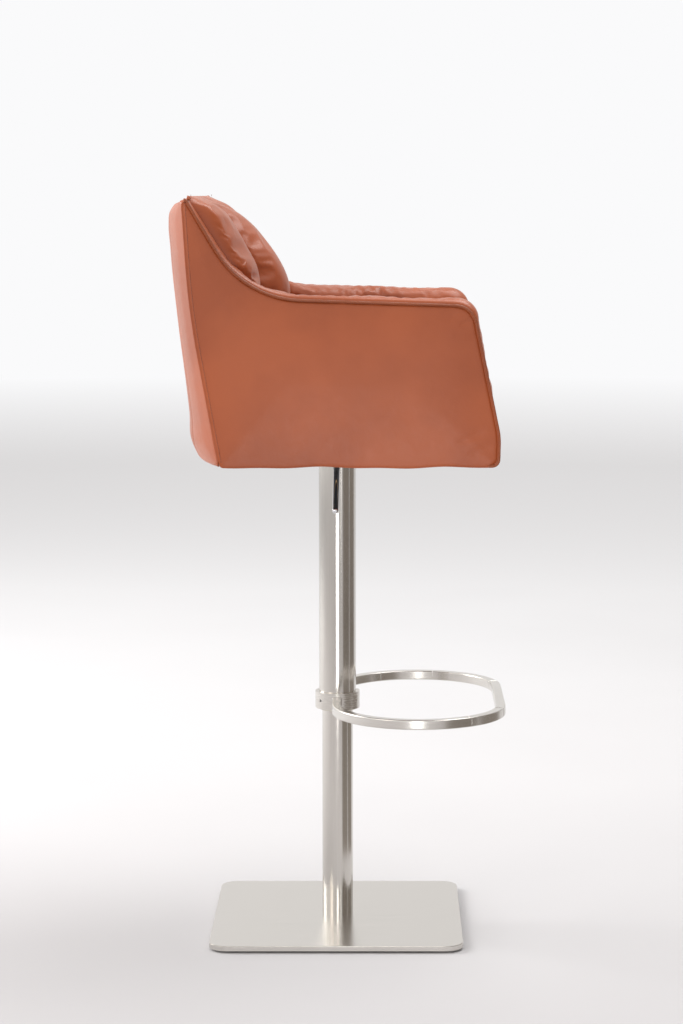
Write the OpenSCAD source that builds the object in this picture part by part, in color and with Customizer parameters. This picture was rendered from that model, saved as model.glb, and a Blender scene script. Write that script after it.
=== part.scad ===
// Height-adjustable bar stool: square base plate, two-tube column with a gas lift inside,
// footrest ring on the upper tube, and an upholstered tub seat that swivels.
// +Z is up, the origin is on the column's axis at the floor, and the stool faces -Y.
// The stool is drawn with the gas lift fully out.

/* [Base] */
// Side of the square base plate
plate_side = 400; // [320:5:500]
// Thickness of the base plate
plate_t = 8; // [6:0.5:14]
// Radius of the base plate's corners
plate_corner_r = 28; // [10:1:60]
// Width of the bevel round the plate's top edge
plate_bevel = 1; // [0.5:0.1:2]
// Height that the glides hold the plate off the floor
glide_h = 3.5; // [2:0.5:8]
// Diameter of a floor glide
glide_d = 26; // [16:1:40]
// Distance from the plate's side to a glide's centre
glide_inset = 24; // [20:1:60]
// Thread diameter of the screws that hold the column
base_screw_d = 8; // [6:1:10]
// Pitch circle diameter of those screws
base_screw_pcd = 28; // [24:1:32]

/* [Column] */
// Outer diameter of the lower tube
lower_d = 50; // [42:1:60]
// Wall of the lower tube
lower_wall = 2; // [1.5:0.1:3]
// Gap between the seat plate's socket and the lower tube's bush, with the lift fully down
lower_clear = 9; // [5:1:30]
// Wall of the plastic bush between the two tubes
column_bush_t = 3; // [2:0.5:5]
// Wall of the upper tube
upper_wall = 2; // [1.5:0.1:3]
// Height of the upper tube's lower edge above the floor, with the lift out
upper_bottom = 352; // [300:1:380]
// Thickness of the tapped disc in the lower tube's foot
foot_t = 20; // [12:1:30]

/* [Gas lift] */
// Travel of the gas lift
lift_travel = 220; // [150:2:270]
// Outer diameter of the pressure cylinder
cylinder_d = 28; // [24:0.5:34]
// Wall of the pressure cylinder
cylinder_wall = 2; // [1.5:0.5:3]
// Diameter of the piston rod
rod_d = 10; // [8:0.5:12]
// Length of the cylinder that the guide bush still holds with the lift out
cylinder_engage = 105; // [80:1:115]
// Length of the plastic guide bush in the lower tube
guide_length = 130; // [110:1:140]
// Height of the piston
piston_h = 16; // [12:1:20]
// Diameter of a ball in the thrust bearing
ball_d = 4; // [3:0.5:5]
// Number of balls in the thrust bearing
ball_count = 10; // [6:1:12]
// Diameter of the valve pin
valve_d = 8; // [6:0.5:9]

/* [Footrest] */
// Section of the footrest's square bar
bar_side = 15; // [12:0.5:20]
// Radius of the bar's long edges
bar_edge_r = 2; // [1:0.5:4]
// Radius of the ring's round ends, at the bar's middle
ring_r = 131; // [110:1:150]
// Half the length of the ring's straight front
ring_half = 85; // [60:1:110]
// Wall of the footrest collar
collar_wall = 6; // [4:0.5:10]
// Height of the footrest collar
collar_h = 27; // [22:1:40]
// Diameter of the collar's grub screws
grub_d = 6; // [4:1:8]

/* [Seat shell] */
// Width of the seat over its side panels
shell_width = 510; // [420:5:620]
// Height of the shell's lower edge above the floor, with the lift out
shell_bottom = 769; // [760:1:780]
// Height of the arm's front above the shell's lower edge
arm_h = 248; // [210:1:270]
// Height that the arm gains towards the back
arm_rise = 11; // [0:1:20]
// Height of the back's top corner above the shell's lower edge
back_h = 425; // [380:1:460]
// Reach of the shell's front edge before the column's axis
front_reach = 254; // [240:1:270]
// Reach of the arm's top front corner before the column's axis
arm_reach = 212; // [190:1:230]
// Reach of the shell's lower edge behind the column's axis
rear_reach = 178; // [165:1:190]
// Reach of the back's top corner behind the column's axis
back_reach = 234; // [220:1:245]
// Reach behind the column's axis of the corner that the sweep rounds
sweep_reach = 136; // [120:1:145]
// Outward bow of the shell's rear edge
rear_bow = 16; // [0:1:24]
// Radius of the arm's top front corner
arm_corner_r = 35; // [20:1:60]
// Radius of the sweep from the arm up to the back
sweep_r = 153; // [100:1:170]
// Thickness of an arm with its padding
arm_t = 58; // [50:1:70]
// Depth of the rear panel's outward curve
rear_crown = 38; // [30:1:60]
// Thickness of an upholstered outer panel
panel_t = 8; // [6:0.5:12]
// Diameter of the piping
piping_d = 5; // [4:0.5:8]

/* [Seat structure] */
// Thickness of the seat board
board_t = 18; // [15:1:22]
// Height of the seat board's underside above the shell's lower edge
board_recess = 10; // [8:1:14]
// Thickness of the plywood in the arms
side_ply_t = 15; // [12:1:18]
// Thickness of the plywood in the back
back_ply_t = 12; // [9:1:15]
// Height of the seat cushion at its front
cushion_h = 66; // [50:1:80]
// Distance from the column's axis to the seat cushion's rear face
cushion_rear = 96; // [85:1:105]
// Side of the square seat plate
mount_side = 180; // [160:5:200]
// Hole spacing of the seat plate
mount_spacing = 140; // [120:5:150]
// Sheet thickness of the seat plate
mount_t = 3; // [2:0.5:4]
// Thread diameter of the seat plate's screws
mount_screw_d = 8; // [6:1:8]
// Number of wood screws through each side frame
frame_screw_count = 3; // [2:1:5]

/* [Lever] */
// Diameter of the lever's rod
lever_d = 10; // [8:0.5:12]
// Reach of the lever's tip from the column's axis
lever_reach = 170; // [140:5:220]
// Drop from the lever's straight part to its tip
lever_drop = 72; // [50:1:80]
// Distance from the column's axis to the lever's pivot
pivot_reach = 28; // [24:1:30]
// Diameter of the lever's pivot pin
pivot_d = 5; // [4:0.5:6]

/* [Clearances] */
// Radial clearance of running fits
running_gap = 0.05; // [0.02:0.01:0.1]
// Gap between the lever and the valve pin
valve_gap = 0.3; // [0.2:0.1:0.6]
// Gap between neighbouring seat pieces
seam_gap = 0.5; // [0.3:0.1:1]

/* [Hidden] */
$fn = 96;

steel = "#C9C6C1";
bright_steel = "#DADADA";
dark_steel = "#6E6E70";
black = "#1B1B1C";
nylon = "#E8E5DC";
tan = "#B4683F";
ply = "#CDA66B";

// How far a cut runs past what it cuts
overlap = 1;

plate_z = glide_h;
plate_top = plate_z + plate_t;
glide_at = plate_side / 2 - glide_inset;
glide_stem_d = 8;
glide_stem_h = 5;
glide_chamfer = 1;
foot_roof = 6;
hex_depth = 3;
function hex_d(screw_d) = 0.6 * screw_d;

lower_bore = lower_d - 2 * lower_wall;
upper_bore = lower_d + 2 * column_bush_t;
upper_d = upper_bore + 2 * upper_wall;
lip_t = 3;
bush_length = 40;
bush_lip_t = 2.5;
bush_lip_d = upper_d - 1;
collar_d = upper_d + 2 * collar_wall;
collar_middle = upper_bottom + collar_h / 2;
grub_angles = [50, 130];
grub_bite = 1;
grub_length = collar_wall + upper_wall;

// Seat plate: a flange under the board, and a channel that holds the lever and the taper socket.
board_z = shell_bottom + board_recess;
board_top = board_z + board_t;
flange_z = board_z - mount_t;
channel_x = 80;
channel_y = 60;
channel_h = 26;
channel_z = flange_z - channel_h;
channel_floor = channel_z + mount_t;
upper_top = channel_z;
socket_h = 38;
socket_wall = 5;
socket_d = cylinder_d + 2 * socket_wall;
socket_z = channel_z - socket_h;
cylinder_recess = 1;
cylinder_top = channel_floor - cylinder_recess;
taper_z = socket_z - cylinder_recess;
taper_h = cylinder_top - taper_z;
taper_top_d = cylinder_d - 1.5;
cylinder_bore = cylinder_d - 2 * cylinder_wall;
cylinder_roof = 14;
lever_over_floor = 7;
lever_z = channel_floor + lever_over_floor + lever_d / 2;
valve_top = lever_z - lever_d / 2 - valve_gap;
valve_inset = 2;
valve_bottom = cylinder_top - cylinder_roof + valve_inset;
lever_slot_w = lever_d + 4;
lever_slot_h = lever_d + 8;
lever_bend_x = channel_x / 2 + 8;
lever_knuckle = 1;
lever_nose = 2;
lever_angle = atan(lever_drop / (lever_reach - lever_bend_x));

// The lower tube ends clear of the socket when the lift is down.
lower_top = socket_z - lift_travel - lip_t - lower_clear;
cylinder_bottom = lower_top - cylinder_engage;

// Thrust bearing stack in the lower tube, under the fully lowered cylinder.
carrier_t = 8;
race_t = 1.5;
cage_t = 2;
stop_h = 20;
rod_gap = 1;
stop_top = cylinder_bottom - lift_travel - rod_gap;
upper_race_z = stop_top - stop_h - race_t;
balls_z = upper_race_z - running_gap - ball_d / 2;
lower_race_z = balls_z - ball_d / 2 - race_t;
carrier_z = lower_race_z - carrier_t;
race_w = 9;
race_gap = 0.4;
race_d = rod_d + 2 * race_w;
race_pitch_r = (rod_d + race_d) / 4;
race_bore = rod_d + 2 * race_gap;
cage_inset = 0.5;
ball_gap = 0.1;
stop_d = race_d - 4;
carrier_gap = 1;
carrier_bore = rod_d + 2 * carrier_gap;
clip_t = 2;
clip_d = race_d - 12;
washer_t = 2;
washer_d = race_d - 6;
washer_gap = 0.3;
clip_z = carrier_z - washer_gap - washer_t - clip_t;
rod_tail = 4;
rod_bottom = clip_z - rod_tail;
groove_depth = 1.5;
groove_d = rod_d - 2 * groove_depth;

// Parts inside the cylinder, from its lower end up.
guide_t = 20;
guide_z = cylinder_bottom + 2;
seal_t = 6;
seal_z = guide_z + guide_t;
piston_gap = 7;
piston_z = seal_z + seal_t + piston_gap;
piston_d = cylinder_bore - 2 * running_gap;
piston_neck_d = rod_d - 3;
piston_neck_end = 3;
seal_groove = 2;
seal_groove_d = cylinder_bore - 2 * seal_groove;
seal_h = 4;
seal_groove_z = piston_z + (piston_h - seal_h) / 2;

// Arms, from the outside in: side panel, plywood frame inside the arm pad.
arm_outer = shell_width / 2;
arm_inner = arm_outer - arm_t;
frame_outer = arm_outer - panel_t;
frame_inner = frame_outer - side_ply_t;
frame_inset = 14;
arm_roll = 8;
piping_proud = 1;
piping_inset = piping_d - piping_proud;
arm_top = shell_bottom + arm_h;
back_top = shell_bottom + back_h;
inner_half = arm_inner - seam_gap;

// The rear crown is part of a leaning cylinder.
rear_lean = 5.8;
rear_foot = rear_reach + rear_crown + 11;
crown_r = (pow(arm_outer, 2) + pow(rear_crown, 2)) / (2 * rear_crown);
crown_below = 60;
crown_above = 100;
rear_panel_t = panel_t + 2;
ply_r = crown_r - rear_panel_t - seam_gap;
foam_r = ply_r - back_ply_t - seam_gap;
back_frame_top = back_top - 32;
// Far enough behind the back for any cut
behind = back_reach + 60;

apron_recess = 2;
apron_t = 15.5;
board_front = front_reach - apron_recess - apron_t - seam_gap;
cushion_front = front_reach - 6;
cushion_z = board_top + seam_gap;
cushion_top = cushion_z + cushion_h;
cushion_rise = 12;
cushion_rear_top = cushion_top + cushion_rise;

nut_barrel_d = mount_screw_d + 3;
nut_barrel_h = 10;
nut_flange_d = 22;
nut_flange_t = 1.5;
nut_z = board_top - nut_flange_t - nut_barrel_h;
mount_head_d = 1.75 * mount_screw_d;
mount_head_h = 0.6 * mount_screw_d;
cover_t = 1;
cover_gap = 0.2;
cover_inset = 6;
cover_edge = 2;

frame_screw_d = 5;
frame_screw_l = 44;
frame_screw_head_d = 9;
frame_screw_head_h = 3;
frame_screw_first = -board_front + 45;
frame_screw_last = rear_reach - 60;
frame_screw_z = board_z + board_t / 2;

function unit(v) = v / norm(v);

// Round corner between two straight sides: points on an arc that both sides touch, of radius r or,
// where that would take more than side_share of a side, of the largest radius that does not.
side_share = 0.48;
function corner_arc(a, p, c, wanted_r, steps = 8) =
    let (u = unit(a - p), w = unit(c - p), half = acos(u * w) / 2,
         r = min(wanted_r, side_share * min(norm(a - p), norm(c - p)) * tan(half)),
         middle = p + unit(u + w) * r / sin(half), start = p + u * r / tan(half) - middle,
         sweep = sign(cross(w, u)) * (180 - 2 * half))
    [for (i = [0 : steps]) let (t = sweep * i / steps)
        middle + [start.x * cos(t) - start.y * sin(t), start.x * sin(t) + start.y * cos(t)]];

function flat(p) = [p.x, p.y];
function before(i, n) = (i + n - 1) % n;
function after(i, n) = (i + 1) % n;

// Outline from corners given as [x, y, radius].
function rounded(c) =
    let (n = len(c))
    [for (i = [0 : n - 1]) each corner_arc(flat(c[before(i, n)]), flat(c[i]), flat(c[after(i, n)]), c[i].z)];

// The same corners, moved inwards by d. The corners run clockwise.
least_r = 2;
function inset(c, d) =
    let (n = len(c))
    [for (i = [0 : n - 1])
        let (p = flat(c[i]), u = unit(flat(c[before(i, n)]) - p), w = unit(flat(c[after(i, n)]) - p),
             side = sign(cross(u, w)), q = p + side * unit(u + w) * d / sin(acos(u * w) / 2))
        [q.x, q.y, max(c[i].z - side * d, least_r)]];

// Side view of the shell as [y, z, radius], clockwise from the rear foot; roll raises the arm's top.
function side_corners(roll = 0) = [
    [rear_reach, shell_bottom, 6],
    [-front_reach + 2, shell_bottom, 12],
    [-front_reach, shell_bottom + 45, 120],
    [-arm_reach - roll / 3, arm_top + roll, arm_corner_r],
    [sweep_reach - roll / 3, arm_top + arm_rise + roll, sweep_r],
    [back_reach, back_top, 5],
    [(rear_reach + back_reach) / 2 + rear_bow, (shell_bottom + back_top) / 2 + 28, 1200]];

module tube(outer_d, inner_d, z, h) {
    translate([0, 0, z]) difference() {
        cylinder(d = outer_d, h = h);
        translate([0, 0, -overlap]) cylinder(d = inner_d, h = h + 2 * overlap);
    }
}

module rod(d, z, h) {
    translate([0, 0, z]) cylinder(d = d, h = h);
}

module block(x0, x1, y0, y1, z0, z1) {
    translate([x0, y0, z0]) cube([x1 - x0, y1 - y0, z1 - z0]);
}

// Solid with the given side view, from x0 to x1.
module side_prism(outline, x0, x1) {
    translate([x0, 0, 0]) rotate([90, 0, 90]) linear_extrude(x1 - x0) polygon(outline);
}

// Full cylinder whose rear is the crowned back at radius r.
module crown_solid(r) {
    translate([0, rear_foot - crown_r, shell_bottom]) rotate([-rear_lean, 0, 0])
        translate([0, 0, -crown_below]) cylinder(r = r, h = back_h + crown_below + crown_above, $fn = 240);
}

module at_corners(reach, z = 0) {
    for (sx = [-1, 1], sy = [-1, 1]) translate([sx * reach, sy * reach, z]) children();
}

module at_base_screws() {
    for (a = [45 : 90 : 315]) rotate([0, 0, a]) translate([base_screw_pcd / 2, 0, 0]) children();
}

module rounded_plate(side, r, h) {
    linear_extrude(h) {
        square([side - 2 * r, side], center = true);
        square([side, side - 2 * r], center = true);
        for (sx = [-1, 1], sy = [-1, 1])
            translate([sx * (side / 2 - r), sy * (side / 2 - r)]) circle(r);
    }
}

// Countersunk screw from below, head face at z = 0.
module base_screw() {
    cylinder(d1 = 2 * base_screw_d, d2 = base_screw_d, h = base_screw_d / 2);
    cylinder(d = base_screw_d, h = plate_t + foot_t - foot_roof);
}

module base_plate() {
    color(steel) difference() {
        union() {
            translate([0, 0, plate_z]) rounded_plate(plate_side, plate_corner_r, plate_t - plate_bevel);
            translate([0, 0, plate_top - plate_bevel])
                rounded_plate(plate_side - 2 * plate_bevel, plate_corner_r - plate_bevel, plate_bevel);
        }
        translate([0, 0, plate_z]) at_base_screws() base_screw();
        at_corners(glide_at, plate_z - overlap) cylinder(d = glide_stem_d, h = glide_stem_h + overlap);
    }
}

module floor_glides() {
    color(black) at_corners(glide_at) {
        cylinder(d1 = glide_d - 2 * glide_chamfer, d2 = glide_d, h = glide_chamfer);
        translate([0, 0, glide_chamfer]) cylinder(d = glide_d, h = glide_h - glide_chamfer);
        cylinder(d = glide_stem_d, h = glide_h + glide_stem_h);
    }
}

module base_screws() {
    color(dark_steel) translate([0, 0, plate_z]) at_base_screws() difference() {
        base_screw();
        translate([0, 0, -overlap]) cylinder(d = hex_d(base_screw_d), h = hex_depth + overlap, $fn = 6);
    }
}

module column_foot() {
    color(dark_steel) difference() {
        rod(lower_bore, plate_top, foot_t);
        translate([0, 0, plate_z]) at_base_screws() base_screw();
    }
}

module lower_column() {
    color(steel) tube(lower_d, lower_bore, plate_top, lower_top - plate_top);
}

module guide_bush() {
    color(nylon) {
        tube(lower_bore, cylinder_d + 2 * running_gap, lower_top - guide_length, guide_length + lip_t);
        tube(lower_d, lower_bore, lower_top, lip_t);
    }
}

module bearing_carrier() {
    color(dark_steel) tube(lower_bore, carrier_bore, carrier_z, carrier_t);
}

module bearing_lower_race() {
    color(bright_steel) tube(race_d, race_bore, lower_race_z, race_t);
}

module at_balls(z) {
    for (i = [0 : ball_count - 1])
        rotate([0, 0, i * 360 / ball_count]) translate([race_pitch_r, 0, z]) children();
}

module bearing_balls() {
    color(bright_steel) at_balls(balls_z) sphere(d = ball_d, $fn = 32);
}

module ball_cage() {
    color(nylon) difference() {
        tube(race_d - 2 * cage_inset, race_bore + 2 * cage_inset, balls_z - cage_t / 2, cage_t);
        at_balls(balls_z - cage_t) cylinder(d = ball_d + 2 * ball_gap, h = 2 * cage_t);
    }
}

module bearing_upper_race() {
    color(bright_steel) tube(race_d, rod_d, upper_race_z, race_t);
}

module piston_rod() {
    color(bright_steel) difference() {
        union() {
            rod(rod_d, rod_bottom, piston_z - rod_bottom);
            rod(piston_neck_d, piston_z, piston_h + piston_neck_end);
        }
        tube(rod_d + 2 * overlap, groove_d, clip_z, clip_t);
    }
}

module piston() {
    color(dark_steel) difference() {
        tube(piston_d, piston_neck_d, piston_z, piston_h);
        tube(piston_d + 2 * overlap, seal_groove_d, seal_groove_z, seal_h);
    }
}

module piston_seal() {
    color(black) tube(piston_d, seal_groove_d, seal_groove_z, seal_h);
}

module bump_stop() {
    color(black) tube(stop_d, rod_d, upper_race_z + race_t, stop_h);
}

module rod_washer() {
    color(bright_steel) tube(washer_d, rod_d, clip_z + clip_t, washer_t);
}

module rod_clip() {
    color(dark_steel) difference() {
        tube(clip_d, groove_d, clip_z, clip_t);
        block(0, race_d, -groove_d / 3, groove_d / 3, clip_z - overlap, clip_z + clip_t + overlap);
    }
}

module gas_cylinder() {
    color(dark_steel) difference() {
        union() {
            rod(cylinder_d, cylinder_bottom, taper_z - cylinder_bottom);
            translate([0, 0, taper_z]) cylinder(d1 = cylinder_d, d2 = taper_top_d, h = taper_h);
        }
        rod(cylinder_bore, cylinder_bottom - overlap,
            cylinder_top - cylinder_roof - cylinder_bottom + overlap);
        rod(valve_d + 2 * running_gap, cylinder_top - cylinder_roof - overlap, cylinder_roof + 2 * overlap);
    }
}

module rod_guide() {
    color(nylon) tube(cylinder_bore, rod_d + 2 * running_gap, guide_z, guide_t);
}

module rod_seal() {
    color(black) tube(cylinder_bore, rod_d + 2 * running_gap, seal_z, seal_t);
}

module valve_pin() {
    color(bright_steel) {
        rod(valve_d, valve_bottom, valve_top - valve_d / 2 - valve_bottom);
        translate([0, 0, valve_top - valve_d / 2]) intersection() {
            sphere(d = valve_d);
            cylinder(d = valve_d + 2, h = valve_d);
        }
    }
}

module upper_column() {
    color(steel) difference() {
        tube(upper_d, upper_bore, upper_bottom, upper_top - upper_bottom);
        at_grub_screws() grub_hole();
    }
}

module column_bush() {
    color(nylon) difference() {
        union() {
            tube(upper_bore, lower_d + 2 * running_gap, upper_bottom, bush_length);
            tube(bush_lip_d, lower_d + 2 * running_gap, upper_bottom - bush_lip_t, bush_lip_t);
        }
        at_grub_screws() grub_hole();
    }
}

// Two grub screws at the back of the collar; the local +X points outwards.
module at_grub_screws() {
    for (a = grub_angles) translate([0, 0, collar_middle]) rotate([0, 0, a]) children();
}

module grub_hole() {
    translate([upper_bore / 2 - grub_bite, 0, 0]) rotate([0, 90, 0]) cylinder(d = grub_d, h = collar_d / 2);
}

module footrest_collar() {
    color(steel) difference() {
        tube(collar_d, upper_d, upper_bottom, collar_h);
        at_grub_screws() grub_hole();
    }
}

module collar_screws() {
    color(dark_steel) at_grub_screws() translate([upper_bore / 2 - grub_bite, 0, 0]) rotate([0, 90, 0])
        difference() {
            cylinder(d = grub_d, h = grub_length);
            translate([0, 0, grub_length - hex_depth])
                cylinder(d = hex_d(grub_d), h = hex_depth + overlap, $fn = 6);
        }
}

module bar_section() {
    half = bar_side / 2;
    polygon(rounded([[half, half, bar_edge_r], [half, -half, bar_edge_r],
                     [-half, -half, bar_edge_r], [-half, half, bar_edge_r]]));
}

module footrest_ring() {
    color(steel) translate([0, 0, collar_middle]) difference() {
        union() {
            for (s = [-1, 1]) {
                translate([s * ring_half, -ring_r, 0]) rotate([0, 0, s > 0 ? -90 : 90])
                    rotate_extrude(angle = 180) translate([ring_r, 0]) bar_section();
                translate([s * ring_half, 0, 0]) rotate([90, 0, -90 * s])
                    linear_extrude(ring_half - upper_d / 2) bar_section();
            }
            translate([-ring_half, -2 * ring_r, 0]) rotate([90, 0, 90])
                linear_extrude(2 * ring_half) bar_section();
        }
        translate([0, 0, -bar_side]) cylinder(d = collar_d, h = 2 * bar_side);
    }
}

module taper_bore() {
    rotate_extrude() polygon([[0, taper_z - overlap], [cylinder_d / 2, taper_z - overlap],
                              [cylinder_d / 2, taper_z], [taper_top_d / 2, cylinder_top],
                              [taper_top_d / 2, channel_floor + overlap], [0, channel_floor + overlap]]);
}

module seat_plate() {
    color(dark_steel) difference() {
        union() {
            difference() {
                union() {
                    block(-mount_side / 2, mount_side / 2, -mount_side / 2, mount_side / 2,
                          flange_z, board_z);
                    block(-channel_x / 2, channel_x / 2, -channel_y / 2, channel_y / 2, channel_z, board_z);
                }
                block(-channel_x / 2 + mount_t, channel_x / 2 - mount_t, -channel_y / 2 + mount_t,
                      channel_y / 2 - mount_t, channel_floor, board_z + overlap);
            }
            rod(socket_d, taper_z, channel_floor - taper_z);
        }
        taper_bore();
        block(-channel_x / 2 - overlap, -channel_x / 2 + mount_t + overlap, -lever_slot_w / 2,
              lever_slot_w / 2, lever_z - lever_slot_h / 2, lever_z + lever_slot_h / 2);
        translate([-pivot_reach, 0, lever_z]) rotate([90, 0, 0])
            cylinder(d = pivot_d, h = channel_y + 2 * overlap, center = true);
        at_corners(mount_spacing / 2, flange_z - overlap)
            cylinder(d = mount_screw_d, h = mount_t + 2 * overlap);
    }
}

module plate_screws() {
    color(dark_steel) at_corners(mount_spacing / 2, flange_z) difference() {
        union() {
            translate([0, 0, -mount_head_h]) cylinder(d = mount_head_d, h = mount_head_h);
            cylinder(d = mount_screw_d, h = mount_t + board_t - 2);
        }
        translate([0, 0, -mount_head_h - overlap])
            cylinder(d = hex_d(mount_screw_d), h = hex_depth + overlap, $fn = 6);
    }
}

module nut_space() {
    translate([0, 0, board_top - nut_flange_t]) cylinder(d = nut_flange_d, h = nut_flange_t + overlap);
    translate([0, 0, nut_z]) cylinder(d = nut_barrel_d, h = nut_barrel_h);
}

module tee_nuts() {
    color(bright_steel) at_corners(mount_spacing / 2) {
        tube(nut_flange_d, mount_screw_d, board_top - nut_flange_t, nut_flange_t);
        tube(nut_barrel_d, mount_screw_d, nut_z, nut_barrel_h);
    }
}

// Rod along +Z with a domed end.
module domed_rod(d, l) {
    rotate_extrude() {
        square([d / 2, l]);
        translate([0, l]) intersection() {
            circle(d = d);
            square(d);
        }
    }
}

module lever() {
    color(bright_steel) translate([0, 0, lever_z]) difference() {
        translate([-lever_bend_x, 0, 0]) {
            rotate([0, 90, 0]) domed_rod(lever_d, lever_bend_x + lever_nose);
            rotate([0, -90 - lever_angle, 0])
                domed_rod(lever_d, (lever_reach - lever_bend_x) / cos(lever_angle));
            sphere(d = lever_d + lever_knuckle);
        }
        translate([-pivot_reach, 0, 0]) rotate([90, 0, 0])
            cylinder(d = pivot_d + 2 * running_gap, h = 2 * lever_d, center = true);
    }
}

module lever_pin() {
    color(bright_steel) translate([-pivot_reach, 0, lever_z]) rotate([90, 0, 0])
        cylinder(d = pivot_d, h = channel_y, center = true);
}

module frame_screw() {
    rotate([0, -90, 0]) {
        cylinder(d = frame_screw_d, h = frame_screw_l);
        cylinder(d1 = frame_screw_head_d, d2 = frame_screw_d, h = frame_screw_head_h);
    }
}

module at_frame_screws(s) {
    step = (frame_screw_last - frame_screw_first) / (frame_screw_count - 1);
    for (i = [0 : frame_screw_count - 1])
        translate([s * frame_outer, frame_screw_first + i * step, frame_screw_z])
            rotate([0, 0, s > 0 ? 0 : 180]) children();
}

module seat_board() {
    color(ply) difference() {
        intersection() {
            block(-frame_inner + seam_gap, frame_inner - seam_gap, -board_front, back_reach,
                  board_z, board_top);
            crown_solid(foam_r);
        }
        at_corners(mount_spacing / 2, board_z - overlap) cylinder(d = mount_screw_d, h = board_t);
        at_corners(mount_spacing / 2) nut_space();
        for (s = [-1, 1]) at_frame_screws(s) frame_screw();
    }
}

module frame_screws() {
    color(dark_steel) for (s = [-1, 1]) at_frame_screws(s) frame_screw();
}

module side_frame(s) {
    color(ply) difference() {
        side_prism(rounded(inset(side_corners(), frame_inset)), s > 0 ? frame_inner : -frame_outer,
                   s > 0 ? frame_outer : -frame_inner);
        at_frame_screws(s) frame_screw();
    }
}

module side_frame_left() { side_frame(1); }

module side_frame_right() { side_frame(-1); }

module back_frame() {
    color(ply) difference() {
        intersection() {
            crown_solid(ply_r);
            block(-inner_half, inner_half, 0, behind, board_z, back_frame_top);
        }
        crown_solid(foam_r + seam_gap);
    }
}

module seat_cushion() {
    color(tan) side_prism(rounded([
        [cushion_rear, cushion_z, 4],
        [-cushion_front + 4, cushion_z, 6],
        [-cushion_front, cushion_top, 30],
        [cushion_rear, cushion_rear_top, 12]]), -inner_half, inner_half);
}

module back_cushion() {
    foot = cushion_rear + seam_gap;
    color(tan) intersection() {
        side_prism(rounded([
            [behind, cushion_z, 4],
            [foot, cushion_z, 4],
            [foot, cushion_rear_top + 3, 20],
            [foot - 16, arm_top + 12, 50],
            [back_reach - 75, back_top - 52, 120],
            [back_reach - 21, back_top - 8, 12],
            [behind, back_top - 6, 4]]), -inner_half, inner_half);
        crown_solid(foam_r);
    }
}

module arm_pad(s) {
    color(tan) mirror([s > 0 ? 0 : 1, 0, 0]) difference() {
        side_prism(rounded(side_corners(arm_roll)), arm_inner, frame_inner - seam_gap);
        block(arm_inner - overlap, frame_inner, -board_front - seam_gap, behind,
              shell_bottom - overlap, cushion_z);
    }
}

module arm_pad_left() { arm_pad(1); }

module arm_pad_right() { arm_pad(-1); }

// Padded strip round the edge of the plywood, between the arm pad and the side panel.
module arm_border(s) {
    color(tan) mirror([s > 0 ? 0 : 1, 0, 0]) difference() {
        side_prism(rounded(side_corners(arm_roll)), frame_inner, frame_outer);
        side_prism(rounded(inset(side_corners(), frame_inset - seam_gap)), frame_inner - overlap,
                   frame_outer + overlap);
    }
}

module arm_border_left() { arm_border(1); }

module arm_border_right() { arm_border(-1); }

module side_panel(s) {
    color(tan) side_prism(rounded(inset(side_corners(), piping_inset)),
                          s > 0 ? frame_outer + seam_gap : -arm_outer,
                          s > 0 ? arm_outer : -frame_outer - seam_gap);
}

module side_panel_left() { side_panel(1); }

module side_panel_right() { side_panel(-1); }

module rear_panel() {
    color(tan) difference() {
        intersection() {
            crown_solid(crown_r);
            side_prism(rounded([
                [rear_reach - 40, shell_bottom, 2],
                [rear_reach + 62, shell_bottom, 10],
                [back_reach + 48, back_top - 24, 36],
                [back_reach + 12, back_top - 3, 14],
                [rear_reach - 40, back_top - 3, 2]]), -arm_outer, arm_outer);
        }
        difference() {
            crown_solid(ply_r + seam_gap);
            block(-inner_half, inner_half, back_reach - 10, behind, back_frame_top + 2 * seam_gap,
                  back_top + overlap);
        }
        crown_solid(foam_r + seam_gap);
        for (s = [-1, 1])
            side_prism(rounded(inset(side_corners(), -piping_proud - seam_gap)),
                       s > 0 ? inner_half : -arm_outer - overlap,
                       s > 0 ? arm_outer + overlap : -inner_half);
    }
}

module front_apron() {
    color(tan) block(-inner_half, inner_half, -front_reach + apron_recess, -board_front - seam_gap,
                     shell_bottom, board_top);
}

module piping(s) {
    x0 = s > 0 ? arm_outer - piping_inset : -arm_outer - piping_proud;
    color(tan) difference() {
        side_prism(rounded(inset(side_corners(), -piping_proud)), x0, x0 + piping_d);
        side_prism(rounded(inset(side_corners(), piping_inset - seam_gap / 2)), x0 - overlap,
                   x0 + piping_d + overlap);
        block(x0 - overlap, x0 + piping_d + overlap, -behind - front_reach, behind,
              shell_bottom - 2 * overlap, shell_bottom + piping_d);
    }
}

module piping_left() { piping(1); }

module piping_right() { piping(-1); }

module dust_cover() {
    color(black) difference() {
        intersection() {
            block(-frame_inner + cover_inset, frame_inner - cover_inset, -board_front + cover_inset, behind,
                  board_z - cover_gap - cover_t, board_z - cover_gap);
            crown_solid(foam_r - cover_inset);
        }
        block(-mount_side / 2 - cover_edge, mount_side / 2 + cover_edge, -mount_side / 2 - cover_edge,
              mount_side / 2 + cover_edge, board_z - cover_t - overlap, board_z + overlap);
    }
}

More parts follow.
